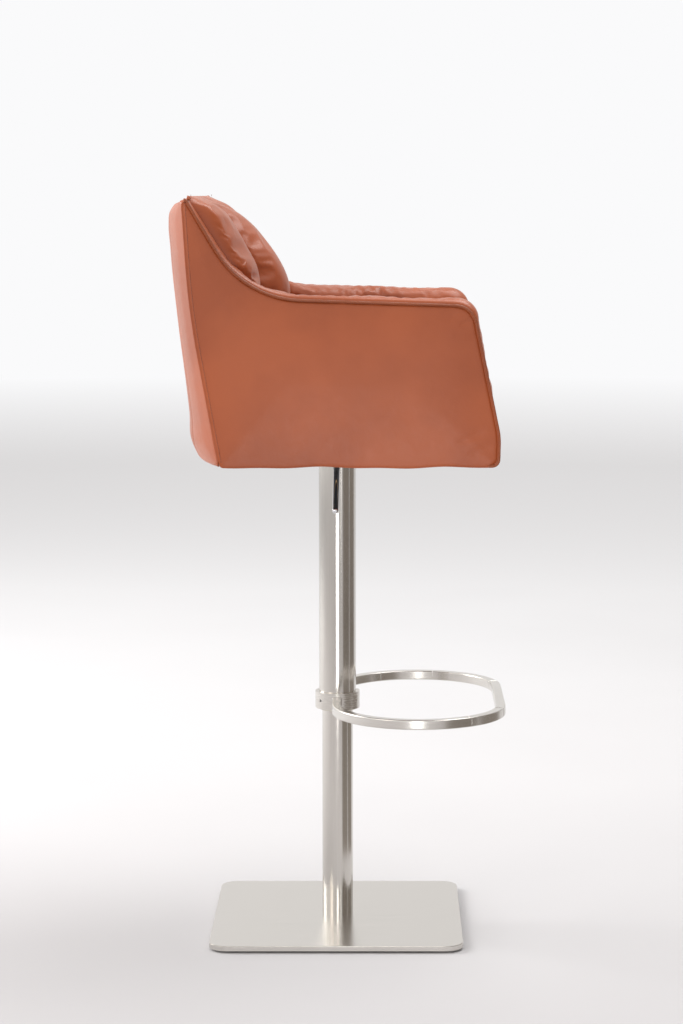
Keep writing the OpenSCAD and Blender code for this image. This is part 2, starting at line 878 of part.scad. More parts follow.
base_plate();
floor_glides();
base_screws();
column_foot();
lower_column();
guide_bush();
bearing_carrier();
bearing_lower_race();
bearing_balls();
ball_cage();
bearing_upper_race();
piston_rod();
piston();
piston_seal();
bump_stop();
rod_washer();
rod_clip();
gas_cylinder();
rod_guide();
rod_seal();
valve_pin();
upper_column();
column_bush();
footrest_collar();
footrest_ring();
collar_screws();
seat_plate();
plate_screws();
tee_nuts();
lever();
lever_pin();
seat_board();
frame_screws();
side_frame_left();
side_frame_right();
back_frame();
seat_cushion();
back_cushion();
arm_pad_left();
arm_pad_right();
arm_border_left();
arm_border_right();
side_panel_left();
side_panel_right();
rear_panel();
front_apron();
piping_left();
piping_right();
dust_cover();
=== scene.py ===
"""Bar stool with a footrest: the looks of each piece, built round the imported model.

Every length is in metres. +Z is up, the stool faces -Y and the column stands on the origin.
"""

import math

import bmesh
import bpy
import numpy as np
from mathutils import Matrix, Vector
from mathutils.geometry import delaunay_2d_cdt


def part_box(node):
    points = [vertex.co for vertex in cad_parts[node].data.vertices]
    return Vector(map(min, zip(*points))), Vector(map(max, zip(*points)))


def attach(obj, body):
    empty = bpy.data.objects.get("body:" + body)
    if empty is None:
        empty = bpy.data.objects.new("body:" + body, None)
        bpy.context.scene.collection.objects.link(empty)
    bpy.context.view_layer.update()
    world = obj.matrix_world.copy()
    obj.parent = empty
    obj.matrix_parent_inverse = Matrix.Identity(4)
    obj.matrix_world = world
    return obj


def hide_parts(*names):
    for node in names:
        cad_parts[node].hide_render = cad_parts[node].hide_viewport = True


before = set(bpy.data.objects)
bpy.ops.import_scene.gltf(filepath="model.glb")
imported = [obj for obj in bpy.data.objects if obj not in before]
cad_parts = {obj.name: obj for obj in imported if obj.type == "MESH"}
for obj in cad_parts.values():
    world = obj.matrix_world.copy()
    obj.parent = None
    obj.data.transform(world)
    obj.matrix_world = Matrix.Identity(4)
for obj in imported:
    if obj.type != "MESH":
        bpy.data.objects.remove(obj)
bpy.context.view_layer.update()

MM = 0.001


# ---------------------------------------------------------------- studio
# A pale painted floor that bends up into a white wall, soft lamps behind the seat's back, overhead
# and by the camera, two strip lamps on the camera's side, and grey curtains and mats round the
# stool's front that the steel mirrors. The floor's colour holds painted shade: it is greyer by the camera.

# Grey of the floor by the camera, which is painted shade; it fades to a paler grey far off.
FLOOR_PAINTED_SHADE = "#BFBDBE"
WALL_WHITE = "#FAFAFB"
CURTAIN_GREY = "#87817B"


def srgb(code):
    """Linear colour of an sRGB hex code."""
    levels = [int(code[i:i + 2], 16) / 255 for i in (1, 3, 5)]
    return tuple(v / 12.92 if v <= 0.04045 else ((v + 0.055) / 1.055) ** 2.4 for v in levels) + (1.0,)


def new_material(name):
    """Empty node material."""
    material = bpy.data.materials.new(name)
    material.use_nodes = True
    material.node_tree.nodes.clear()
    return material


def add_node(material, kind, inputs=None, **settings):
    """Adds a shader node. An input is a value, or the output that is linked to it."""
    made = material.node_tree.nodes.new("ShaderNode" + kind)
    for name, value in settings.items():
        setattr(made, name, value)
    for name, value in (inputs or {}).items():
        if isinstance(value, bpy.types.NodeSocket):
            material.node_tree.links.new(value, made.inputs[name])
        else:
            made.inputs[name].default_value = value
    return made


def studio_paint_and_shade():
    """Matt white paint, with painted shade on the floor, greyer by the camera and paler far off, and a wall
    that glows an even white.
    """
    material = new_material("matt_studio_paint_and_painted_shade")
    place = add_node(material, "TexCoord").outputs["Object"]
    axes = add_node(material, "SeparateXYZ", {"Vector": place})
    cloud = add_node(material, "TexNoise", {"Vector": place, "Scale": 1.3, "Detail": 3.0})
    uneven = add_node(material, "Math", {0: cloud.outputs["Fac"], 1: 0.8}, operation="MULTIPLY")
    along = add_node(material, "Math", {0: axes.outputs["X"], 1: uneven.outputs["Value"]}, operation="ADD")
    # Painted shade: the floor is painted greyer towards the camera, and the edge of the fade is uneven.
    far = add_node(material, "MapRange", {"Value": along.outputs["Value"], "From Min": -0.9, "From Max": 4.0})
    colour = add_node(material, "Mix", {"Factor": far.outputs["Result"], "A": srgb(FLOOR_PAINTED_SHADE),
                                        "B": srgb("#E4E4E5")}, data_type="RGBA")
    paint = add_node(material, "BsdfDiffuse", {"Color": colour.outputs["Result"]})
    washed = add_node(material, "Emission", {"Color": srgb(WALL_WHITE), "Strength": 1.0})
    height = add_node(material, "MapRange", {"Value": axes.outputs["Z"], "From Min": 0.0, "From Max": 0.3})
    both = add_node(material, "MixShader", {"Fac": height.outputs["Result"], 1: paint.outputs["BSDF"],
                                            2: washed.outputs["Emission"]})
    add_node(material, "OutputMaterial", {"Surface": both.outputs["Shader"]})
    return material


def placed(name, data):
    """New object in the scene."""
    made = bpy.data.objects.new(name, data)
    bpy.context.scene.collection.objects.link(made)
    return made


def panels(name, rows, material, closed=False):
    """Surface through equal rows of points."""
    count = len(rows[0])
    mesh = bpy.data.meshes.new(name)
    faces = []
    for i in range(len(rows) - 1):
        for k in range(count if closed else count - 1):
            on = (k + 1) % count
            faces.append((i * count + k, i * count + on, (i + 1) * count + on, (i + 1) * count + k))
    mesh.from_pydata([tuple(p) for row in rows for p in row], [], faces)
    mesh.materials.append(material)
    mesh.shade_smooth()
    piece = placed(name, mesh)
    return piece


studio_surface = studio_paint_and_shade()
floor_radius = 7.5
wall_bend = 2.5
wall_top = 9.0
floor_rows = [(0.01, 0), (1, 0), (3, 0), (floor_radius, 0)]
wall_rows = [(floor_radius + wall_bend * math.sin(a), wall_bend * (1 - math.cos(a)))
             for a in (math.radians(d) for d in range(0, 91, 6))] + [(floor_radius + wall_bend, wall_top)]


def round_room(rows):
    """Rings of points, one for each (radius, height)."""
    return [[(r * math.cos(a), r * math.sin(a), z) for a in (math.tau * k / 96 for k in range(96))]
            for r, z in rows]


panels("studio_floor", round_room(floor_rows), studio_surface, closed=True)
wall = panels("studio_wall", round_room(wall_rows), studio_surface, closed=True)
# The wall is only a background: the light comes through it from the sky.
wall.visible_diffuse = False
wall.visible_glossy = False
wall.visible_shadow = False


def studio_sky():
    """Bright white room behind the seat's back, fading towards the stool's front."""
    world = bpy.data.worlds.new("studio_room")
    bpy.context.scene.world = world
    world.use_nodes = True
    world.node_tree.nodes.clear()
    facing = add_node(world, "SeparateXYZ", {"Vector": add_node(world, "TexCoord").outputs["Generated"]})
    strength = add_node(world, "MapRange", {"Value": facing.outputs["Y"], "From Min": -0.9, "From Max": 0.9,
                                            "To Min": 0.62, "To Max": 1.22})
    light = add_node(world, "Background", {"Color": srgb("#FDFBFA"), "Strength": strength.outputs["Result"]})
    add_node(world, "OutputWorld", {"Surface": light.outputs["Background"]})


studio_sky()


def lamp(name, place, target, size, watts, tint="#FFFFFF"):
    """Rectangular soft lamp at a place, turned towards a target."""
    data = bpy.data.lights.new(name, "AREA")
    data.shape = "RECTANGLE"
    data.size, data.size_y = size
    data.energy = watts
    data.color = srgb(tint)[:3]
    made = placed(name, data)
    made.location = place
    made.rotation_euler = (Vector(target) - Vector(place)).to_track_quat("-Z", "Y").to_euler()
    return made


seat_middle = (0, 0, 0.95)
lamp("rear_softbox", (1.2, 3.4, 2.4), seat_middle, (2.0, 2.0), 100)
lamp("overhead_softbox", (0.5, -1.0, 3.3), seat_middle, (1.8, 1.8), 50)
lamp("camera_softbox", (-2.8, 2.8, 2.2), seat_middle, (1.4, 1.8), 22, "#FFF6EC")
lamp("column_strip", (-2.2, -0.034, 0.28), (0, 0, 0.28), (0.45, 0.62), 5).visible_camera = False
lamp("second_strip", (-4.6, -2.1, 1.2), (0, 0, 0.7), (0.2, 3.0), 5)


def dark_curtain():
    """Heavy grey cloth round the stool's front and on the floor there, out of the camera's sight; the
    steel's dark bands are its reflection."""
    material = new_material("grey_studio_curtain")
    cloth = add_node(material, "BsdfDiffuse", {"Color": srgb(CURTAIN_GREY)})
    add_node(material, "OutputMaterial", {"Surface": cloth.outputs["BSDF"]})
    away, close = 3.4, 0.45
    hem, top, mat_z = 0.02, 3.0, 0.006
    # Each sweep is in degrees round the column, from the camera's side towards the stool's front.
    sweeps = ((36, 78), (83, 124))
    for number, (first, last) in enumerate(sweeps):
        angles = [math.radians(first + (last - first) * k / 12) for k in range(13)]
        rows = [[(-away * math.cos(a), -away * math.sin(a), z) for a in angles] for z in (hem, top)]
        made = panels(f"studio_curtain_{number + 1}", rows, material)
        made.visible_camera = False
        made.visible_shadow = False
        foot = [[(-r * math.cos(a), -r * math.sin(a), mat_z) for a in angles] for r in (close, away)]
        mat = panels(f"studio_mat_{number + 1}", foot, material)
        mat.visible_camera = False
        mat.visible_shadow = False
        mat.visible_diffuse = False


dark_curtain()

camera_data = bpy.data.cameras.new("camera")
camera = placed("camera", camera_data)
camera_data.lens = 94.0
camera_data.sensor_width = 36.0
camera_data.clip_end = 200.0
camera_data.shift_x = -0.0363
camera_data.shift_y = -0.128
camera_distance = 4.309
camera_tilt = math.radians(4.0)
camera.location = (-camera_distance, -0.067, 1.185)
camera.rotation_euler = (math.radians(90) - camera_tilt, 0, math.radians(-90))
bpy.context.scene.camera = camera
bpy.context.scene.view_settings.view_transform = "Standard"


# ---------------------------------------------------------------- base plate
# Square plate of 8 mm stainless steel with rounded corners, its top linished in one direction and
# its edge ground, so that it mirrors the column softly.

def brushed_steel(name, colour, grain, roughness, scratch=0.35):
    """Stainless steel with straight brushing. grain is how far a scratch runs along X, Y and Z, in mm;
    the fine direction is drawn coarser than the real 0.1 mm so that it shows."""
    material = new_material(name)
    place = add_node(material, "TexCoord").outputs["Object"]
    scale = tuple(1 / (g * MM) for g in grain)
    lines = add_node(material, "Mapping", {"Vector": place, "Scale": scale})
    fine = add_node(material, "TexNoise", {"Vector": lines.outputs["Vector"], "Scale": 1.0, "Detail": 4.0,
                                           "Roughness": 0.7})
    broad = add_node(material, "TexNoise", {"Vector": place, "Scale": 9.0, "Detail": 2.0})
    rough = add_node(material, "MapRange", {"Value": fine.outputs["Fac"], "To Min": roughness - 0.05,
                                            "To Max": roughness + 0.07})
    smear = add_node(material, "Math", {0: broad.outputs["Fac"], 1: 0.06}, operation="MULTIPLY")
    sheen = add_node(material, "Math", {0: rough.outputs["Result"], 1: smear.outputs["Value"]},
                     operation="ADD")
    deep = add_node(material, "Mix", {"Factor": fine.outputs["Fac"], "A": srgb(colour),
                                      "B": srgb("#E4E1DC")}, data_type="RGBA")
    bump = add_node(material, "Bump", {"Height": fine.outputs["Fac"], "Strength": scratch,
                                       "Distance": 0.05 * MM})
    steel = add_node(material, "BsdfPrincipled", {"Base Color": deep.outputs["Result"], "Metallic": 1.0,
                                                  "Roughness": sheen.outputs["Value"],
                                                  "Normal": bump.outputs["Normal"]})
    add_node(material, "OutputMaterial", {"Surface": steel.outputs["BSDF"]})
    return material


def dress(material, *nodes):
    """Gives the CAD nodes' material slots a finish."""
    for name in nodes:
        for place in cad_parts[name].material_slots:
            place.material = material


dress(brushed_steel("linished_stainless_plate", "#C4C0BA", (0.7, 160, 160), 0.2), "base_plate")


# ---------------------------------------------------------------- floor glides
# Four moulded black rubber discs pressed into the plate's corners: dull, with a fine pebbled skin.

def moulded(name, colour, roughness, pebble):
    """Moulded rubber or plastic. pebble is the size of the mould's texture in mm."""
    material = new_material(name)
    place = add_node(material, "TexCoord").outputs["Object"]
    skin = add_node(material, "TexNoise", {"Vector": place, "Scale": 1 / (pebble * MM), "Detail": 2.0})
    rough = add_node(material, "MapRange", {"Value": skin.outputs["Fac"], "To Min": roughness - 0.06,
                                            "To Max": roughness + 0.08})
    bump = add_node(material, "Bump", {"Height": skin.outputs["Fac"], "Strength": 0.3, "Distance": 0.1 * MM})
    body = add_node(material, "BsdfPrincipled", {"Base Color": srgb(colour), "IOR": 1.5,
                                                 "Roughness": rough.outputs["Result"],
                                                 "Normal": bump.outputs["Normal"]})
    add_node(material, "OutputMaterial", {"Surface": body.outputs["BSDF"]})
    return material


dress(moulded("moulded_black_rubber", "#1A1A1B", 0.6, 0.8), "floor_glides", "bump_stop")
dress(moulded("nitrile_seal_rubber", "#232325", 0.45, 0.5), "piston_seal", "rod_seal")
dress(moulded("natural_nylon", "#E6E2D6", 0.4, 1.0), "guide_bush", "column_bush", "ball_cage", "rod_guide")


# ---------------------------------------------------------------- column and gas lift
# Two stainless tubes, belt-brushed along their length, that slide one over the other on plastic
# bushes. The lift inside has a ground rod, hardened bearing parts and a black painted cylinder.

dress(brushed_steel("belt_brushed_tube", "#BDB8B1", (0.5, 0.5, 220), 0.1), "lower_column", "upper_column")
dress(brushed_steel("zinc_plated_steel", "#A9ABAF", (3, 3, 3), 0.34, 0.15), "base_screws", "column_foot",
      "bearing_carrier", "piston", "rod_clip", "rod_washer", "collar_screws", "plate_screws", "tee_nuts",
      "frame_screws", "lever_pin")
dress(brushed_steel("ground_bearing_steel", "#C8C8CA", (1, 1, 1), 0.14, 0.1), "bearing_lower_race",
      "bearing_upper_race", "bearing_balls", "piston_rod", "valve_pin")


def powder_coat(name, colour):
    """Baked powder paint: half gloss with a slight orange peel of about 1.5 mm."""
    material = new_material(name)
    place = add_node(material, "TexCoord").outputs["Object"]
    peel = add_node(material, "TexNoise", {"Vector": place, "Scale": 1 / (1.5 * MM), "Detail": 1.0})
    bump = add_node(material, "Bump", {"Height": peel.outputs["Fac"], "Strength": 0.35,
                                       "Distance": 0.08 * MM})
    shade = add_node(material, "Mix", {"Factor": peel.outputs["Fac"], "A": srgb(colour),
                                       "B": srgb("#2A2A2C")}, data_type="RGBA")
    paint = add_node(material, "BsdfPrincipled", {"Base Color": shade.outputs["Result"], "Roughness": 0.42,
                                                  "Normal": bump.outputs["Normal"]})
    add_node(material, "OutputMaterial", {"Surface": paint.outputs["BSDF"]})
    return material


dress(powder_coat("black_powder_coat", "#1C1C1E"), "gas_cylinder", "seat_plate")


# ---------------------------------------------------------------- footrest
# Square stainless bar rolled into a flattened ring and welded to a turned collar. The welds are
# ground back to thin bright lines across the bar.

bar_brush = brushed_steel("brushed_square_bar", "#C6C2BC", (90, 90, 0.6), 0.2)
dress(bar_brush, "footrest_ring")
dress(brushed_steel("turned_collar_steel", "#C3BEB7", (60, 60, 0.5), 0.22), "footrest_collar")

bar_side = 15 * MM
weld_width = 1.6 * MM
weld_proud = 0.35 * MM


def loft(name, sections, closed=True):
    """Skin over a list of equal sections, each a closed loop of points; closed joins last to first."""
    mesh = bpy.data.meshes.new(name)
    count = len(sections[0])
    points = [p for section in sections for p in section]
    faces = []
    for i in range(len(sections) if closed else len(sections) - 1):
        near, far = i * count, (i + 1) % len(sections) * count
        faces += [(near + k, near + (k + 1) % count, far + (k + 1) % count, far + k) for k in range(count)]
    if not closed:
        faces += [tuple(range(count))[::-1], tuple(range(len(points) - count, len(points)))]
    mesh.from_pydata([tuple(p) for p in points], [], faces)
    edit = bmesh.new()
    edit.from_mesh(mesh)
    bmesh.ops.recalc_face_normals(edit, faces=edit.faces)
    edit.to_mesh(mesh)
    edit.free()
    mesh.shade_smooth()
    return placed(name, mesh)


def joined(name, pieces):
    """One object made of several meshes."""
    edit = bmesh.new()
    for piece in pieces:
        edit.from_mesh(piece.data)
        bpy.data.objects.remove(piece)
    mesh = bpy.data.meshes.new(name)
    edit.to_mesh(mesh)
    edit.free()
    mesh.shade_smooth()
    return placed(name, mesh)


def weld_bead(middle, outwards):
    """Rounded bead round the square bar, across its run. outwards is the bar's outer side."""
    middle, outwards = Vector(middle), Vector(outwards).normalized()
    up = Vector((0, 0, 1))
    along = outwards.cross(up)
    half = bar_side / 2
    sections = []
    for step, proud in ((-1, -0.3), (-0.6, 0.7), (0, 1), (0.6, 0.7), (1, -0.3)):
        loop = []
        reach = half + weld_proud * proud
        for k in range(40):
            a = 2 * math.pi * k / 40
            c, s = math.cos(a), math.sin(a)
            # A power of the angle's sine and cosine gives a square with rounded corners.
            u = math.copysign(abs(c) ** 0.3, c) * reach
            v = math.copysign(abs(s) ** 0.3, s) * reach
            loop.append(middle + outwards * u + up * v + along * step * weld_width / 2)
        sections.append(loop)
    return loft("bead", sections, closed=False)


def box_ends(name):
    """Lowest and highest corner of a CAD node's box."""
    return [Vector(corner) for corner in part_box(name)]


ring_low, ring_high = box_ends("footrest_ring")
ring_z = (ring_low.z + ring_high.z) / 2
ring_radius = -ring_low.y / 2 - bar_side / 4
ring_middle_y = -ring_radius
ring_straight = ring_high.x - ring_radius - bar_side / 2
beads = []
for side, angle in ((-1, 36), (1, 13), (1, -29), (-1, 76), (1, 76)):
    # The angle is from the ring's side towards its front.
    a = math.radians(angle)
    outwards = Vector((side * math.cos(a), -math.sin(a), 0))
    middle = Vector((side * ring_straight, ring_middle_y, ring_z)) + outwards * ring_radius
    beads.append(weld_bead(middle, outwards))
collar_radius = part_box("footrest_collar")[1][0]
for side in (-1, 1):
    beads.append(weld_bead((side * (collar_radius + 0.5 * MM), 0, ring_z), (0, 1, 0)))
welds = joined("footrest_welds", beads)
welds.data.materials.append(brushed_steel("ground_weld_metal", "#E2DFDA", (2, 2, 2), 0.18, 0.2))
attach(welds, "seat")


# ---------------------------------------------------------------- lever
# Chromed rod that leaves the seat plate sideways and bends down, with a domed end.

def chrome(name):
    """Polished chrome plate: nearly a mirror, with faint wiping marks."""
    material = new_material(name)
    place = add_node(material, "TexCoord").outputs["Object"]
    marks = add_node(material, "TexNoise", {"Vector": place, "Scale": 140.0, "Detail": 3.0})
    rough = add_node(material, "MapRange", {"Value": marks.outputs["Fac"], "To Min": 0.04, "To Max": 0.13})
    plate = add_node(material, "BsdfPrincipled", {"Base Color": srgb("#D9D9DC"), "Metallic": 1.0,
                                                  "Roughness": rough.outputs["Result"]})
    add_node(material, "OutputMaterial", {"Surface": plate.outputs["BSDF"]})
    return material


dress(chrome("polished_chrome"), "lever")


# ---------------------------------------------------------------- wooden frame
# Birch plywood board, arms and back under the upholstery, sawn and left raw: the plies show as
# bands of 1.4 mm on the edges, and the face veneer has a long grain.

def birch_plywood(name):
    """Raw birch plywood: warm and matt, with long grain and banded edges."""
    material = new_material(name)
    place = add_node(material, "TexCoord").outputs["Object"]
    long_grain = add_node(material, "Mapping", {"Vector": place, "Scale": (90.0, 9.0, 90.0)})
    grain = add_node(material, "TexNoise", {"Vector": long_grain.outputs["Vector"], "Scale": 1.0,
                                            "Detail": 5.0, "Distortion": 0.6})
    ply = add_node(material, "TexWave", {"Vector": place, "Scale": 1 / (2.8 * MM) / math.tau,
                                         "Distortion": 0.3}, bands_direction="Z")
    colour = add_node(material, "Mix", {"Factor": grain.outputs["Fac"], "A": srgb("#D9B886"),
                                        "B": srgb("#B98E58")}, data_type="RGBA")
    banded = add_node(material, "Mix", {"Factor": ply.outputs["Fac"], "A": colour.outputs["Result"],
                                        "B": srgb("#A97F4D")}, data_type="RGBA")
    bump = add_node(material, "Bump", {"Height": grain.outputs["Fac"], "Strength": 0.3, "Distance": 0.1 * MM})
    wood = add_node(material, "BsdfPrincipled", {"Base Color": banded.outputs["Result"], "Roughness": 0.7,
                                                 "Normal": bump.outputs["Normal"]})
    add_node(material, "OutputMaterial", {"Surface": wood.outputs["BSDF"]})
    return material


dress(birch_plywood("raw_birch_plywood"), "seat_board", "side_frame_left", "side_frame_right", "back_frame")


# ---------------------------------------------------------------- seat cushion
# Foam block in a smooth tan faux leather, boxed with a seam round its top edge. The cover is
# pulled tight, so its sides draw in between the corners and the top is crowned.

def faux_leather(name, colour, shadow):
    """Polyurethane coated cloth: soft half gloss, a 0.9 mm pressed grain, broad patches where the
    cover is stretched paler, and fine creases of about 12 mm."""
    material = new_material(name)
    place = add_node(material, "TexCoord").outputs["Object"]
    grain = add_node(material, "TexVoronoi", {"Vector": place, "Scale": 1 / (0.9 * MM)})
    crease = add_node(material, "TexNoise", {"Vector": place, "Scale": 1 / (12 * MM), "Detail": 4.0,
                                             "Distortion": 0.8})
    patch = add_node(material, "TexNoise", {"Vector": place, "Scale": 7.0, "Detail": 3.0})
    tone = add_node(material, "MapRange", {"Value": patch.outputs["Fac"], "From Min": 0.35, "From Max": 0.65})
    colour_mix = add_node(material, "Mix", {"Factor": tone.outputs["Result"], "A": srgb(shadow),
                                            "B": srgb(colour)}, data_type="RGBA")
    rough = add_node(material, "MapRange", {"Value": crease.outputs["Fac"], "To Min": 0.32, "To Max": 0.45})
    low = add_node(material, "Bump", {"Height": crease.outputs["Fac"], "Strength": 0.3, "Distance": 0.6 * MM})
    fine = add_node(material, "Bump", {"Height": grain.outputs["Distance"], "Strength": 0.35,
                                       "Distance": 0.12 * MM, "Normal": low.outputs["Normal"]})
    cover = add_node(material, "BsdfPrincipled", {"Base Color": colour_mix.outputs["Result"], "IOR": 1.5,
                                                  "Roughness": rough.outputs["Result"],
                                                  "Sheen Weight": 0.12, "Sheen Roughness": 0.3,
                                                  "Sheen Tint": srgb("#F2CDBE"),
                                                  "Normal": fine.outputs["Normal"]})
    add_node(material, "OutputMaterial", {"Surface": cover.outputs["BSDF"]})
    return material


leather = faux_leather("tan_faux_leather", "#AA542A", "#9B4A23")
ARC_STEPS = 10


def rounded(corners):
    """Outline with its corners, given as (u, v, radius), rounded by arcs."""
    outline = []
    for i, (u, v, radius) in enumerate(corners):
        here = Vector((u, v))
        back = (Vector(corners[i - 1][:2]) - here).normalized()
        on = (Vector(corners[(i + 1) % len(corners)][:2]) - here).normalized()
        half = back.angle(on) / 2
        middle = here + (back + on).normalized() * radius / math.sin(half)
        start = here + back * radius / math.tan(half) - middle
        sweep = math.copysign(math.pi - 2 * half, on.x * back.y - on.y * back.x)
        for k in range(ARC_STEPS + 1):
            turned = start.copy()
            turned.rotate(Matrix.Rotation(sweep * k / ARC_STEPS, 2))
            outline.append(middle + turned)
    return outline


def evenly(outline, step):
    """The closed outline with points a step apart."""
    points = np.array([tuple(p) for p in outline])
    ring = np.vstack([points, points[:1]])
    run = np.concatenate([[0], np.cumsum(np.linalg.norm(np.diff(ring, axis=0), axis=1))])
    count = int(round(run[-1] / step))
    at = np.linspace(0, run[-1], count, endpoint=False)
    return np.column_stack([np.interp(at, run, ring[:, 0]), np.interp(at, run, ring[:, 1])])


def edge_distance(points, outline):
    """Distance of each point from a closed outline, positive inside it."""
    a, b = outline, np.roll(outline, -1, axis=0)
    nearest = np.full(len(points), 9.0)
    inside = np.zeros(len(points), bool)
    for p, q in zip(a, b):
        run = q - p
        t = np.clip(((points - p) @ run) / (run @ run), 0, 1)
        nearest = np.minimum(nearest, np.linalg.norm(points - (p + t[:, None] * run), axis=1))
        crosses = (p[1] > points[:, 1]) != (q[1] > points[:, 1])
        if q[1] != p[1]:
            inside ^= crosses & (points[:, 0] < (q[0] - p[0]) * (points[:, 1] - p[1]) / (q[1] - p[1]) + p[0])
    return np.where(inside, nearest, -nearest)


EDGE_ROWS = np.array([0.3, 1.0, 2.2, 4.0, 6.5, 10.0, 14.5, 20.0]) * MM


def pad(name, corners, place, step=6 * MM, seams=()):
    """Closed two-sided pad. corners give its outline as (u, v, radius). place(u, v, depth, side) gives
    the points of side 1 or -1, where depth is the distance from the outline. The mesh has rows
    close to the outline and to each seam, which is a list of (u, v) points."""
    outline = evenly(rounded(corners), step * 0.8)
    area = np.sum(outline[:, 0] * np.roll(outline[:, 1], -1) - outline[:, 1] * np.roll(outline[:, 0], -1))
    if area < 0:
        outline = outline[::-1]
    along = np.roll(outline, -1, axis=0) - np.roll(outline, 1, axis=0)
    inwards = np.column_stack([-along[:, 1], along[:, 0]]) / np.linalg.norm(along, axis=1)[:, None]
    chosen = []
    for row in EDGE_ROWS:
        points = outline + inwards * row
        chosen.append(points[edge_distance(points, outline) > 0.97 * row])
    last_row = EDGE_ROWS[-1]
    seam_points = []
    for seam in seams:
        line = np.array(seam)
        length = np.linalg.norm(line[-1] - line[0])
        for t in np.linspace(0, 1, max(2, int(length / step))):
            spot = line[0] + (line[-1] - line[0]) * t
            across = np.array([-(line[-1] - line[0])[1], (line[-1] - line[0])[0]]) / length
            seam_points += [spot + across * shift * MM for shift in (-9, -5.5, -3, -1.3, 0, 1.3, 3, 5.5, 9)]
    if seam_points:
        seam_points = np.array(seam_points)
        seam_points = seam_points[edge_distance(seam_points, outline) > last_row + 1 * MM]
        chosen.append(seam_points)
    low, high = outline.min(axis=0), outline.max(axis=0)
    columns = np.arange(low[0], high[0], step)
    rows = np.arange(low[1], high[1], step)
    grid = np.array([(u + (step / 2 if j % 2 else 0), v) for j, v in enumerate(rows) for u in columns])
    grid = grid[edge_distance(grid, outline) > last_row + step * 0.6]
    if len(seam_points):
        far = np.ones(len(grid), bool)
        for spot in seam_points:
            far &= np.abs(grid - spot).max(axis=1) > step * 0.55
        grid = grid[far]
    chosen.append(grid)
    flat = np.vstack([outline] + chosen)
    found = delaunay_2d_cdt([Vector(p) for p in flat], [], [list(range(len(outline)))], 1, 1e-7)
    flat = np.array([tuple(p) for p in found[0]])
    triangles = found[2]
    depth = np.maximum(edge_distance(flat, outline), 0)
    rim = depth < 0.05 * MM
    depth[rim] = 0
    top = place(flat[:, 0], flat[:, 1], depth, 1)
    bottom = place(flat[:, 0], flat[:, 1], depth, -1)
    number = np.where(rim, np.arange(len(flat)), 0)
    number[~rim] = len(flat) + np.arange((~rim).sum())
    points = np.vstack([top, bottom[~rim]])
    faces = [tuple(t) for t in triangles] + [tuple(int(number[i]) for i in t[::-1]) for t in triangles]
    mesh = bpy.data.meshes.new(name)
    mesh.from_pydata(points.tolist(), [], faces)
    mesh.validate()
    edit = bmesh.new()
    edit.from_mesh(mesh)
    bmesh.ops.recalc_face_normals(edit, faces=edit.faces)
    edit.to_mesh(mesh)
    edit.free()
    mesh.shade_smooth()
    return placed(name, mesh)


def round_off(depth, reach, power=2.3):
    """Rises from 0 at the rim to 1 at a depth of reach, like the quarter of a rounded square."""
    k = np.clip(depth / reach, 0, 1)
    return (1 - (1 - k) ** power) ** (1 / power)


def fade(value, low, high):
    """Smooth step from 0 at low to 1 at high."""
    t = np.clip((value - low) / (high - low), 0, 1)
    return t * t * (3 - 2 * t)


cover_pressure = 4.0
cover_slack = 0.03
cover_frames = 18


def stuff(piece, held, cap=6 * MM):
    """Blows the cover up with cloth simulation and lets it crease, with its held points pinned.
    held(points) gives how firmly each point is held, from 0 to 1; no point moves more than cap."""
    start = np.array([v.co[:] for v in piece.data.vertices])
    grip = held(start)
    group = piece.vertex_groups.new(name="held")
    for index, weight in enumerate(grip):
        group.add([index], float(weight), "REPLACE")
    cloth = piece.modifiers.new("cover", "CLOTH")
    cloth.settings.quality = 5
    cloth.settings.mass = 0.4
    cloth.settings.tension_stiffness = 25
    cloth.settings.compression_stiffness = 25
    cloth.settings.shear_stiffness = 10
    cloth.settings.bending_stiffness = 1.2
    cloth.settings.use_pressure = True
    cloth.settings.uniform_pressure_force = cover_pressure
    cloth.settings.shrink_min = -cover_slack
    cloth.settings.vertex_group_mass = group.name
    cloth.settings.pin_stiffness = 1.0
    cloth.settings.effector_weights.gravity = 0
    cloth.collision_settings.use_collision = False
    cloth.point_cache.frame_start = 1
    cloth.point_cache.frame_end = cover_frames
    scene = bpy.context.scene
    for number in range(1, cover_frames + 1):
        scene.frame_set(number)
    shaped = piece.evaluated_get(bpy.context.evaluated_depsgraph_get())
    end = np.array([v.co[:] for v in shaped.data.vertices])
    scene.frame_set(1)
    piece.modifiers.remove(cloth)
    piece.vertex_groups.remove(group)
    move = end - start
    length = np.linalg.norm(move, axis=1)
    soft = np.tanh(length / cap) * cap / np.maximum(length, 1e-9)
    move *= (soft * (1 - grip))[:, None]
    for vertex, where in zip(piece.data.vertices, start + move):
        vertex.co = where
    piece.data.update()


def finish_pad(piece, material, slot, fill, *replaced):
    """One subdivision, the material, and the piece's place on the seat."""
    piece.data.materials.append(material)
    refine = piece.modifiers.new("refine", "SUBSURF")
    refine.levels = refine.render_levels = 1
    refine.subdivision_type = "CATMULL_CLARK"
    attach(piece, "seat")
    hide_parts(*replaced)


cushion_low, cushion_high = box_ends("seat_cushion")
cushion_mid_z = cushion_low.z + 28 * MM
cushion_rise = 12 * MM
cushion_round = 26 * MM
cushion_crown = 9 * MM
cushion_draw_in = 5 * MM
cushion_middle = (cushion_low + cushion_high) / 2
cushion_front_top = cushion_high.z - cushion_rise


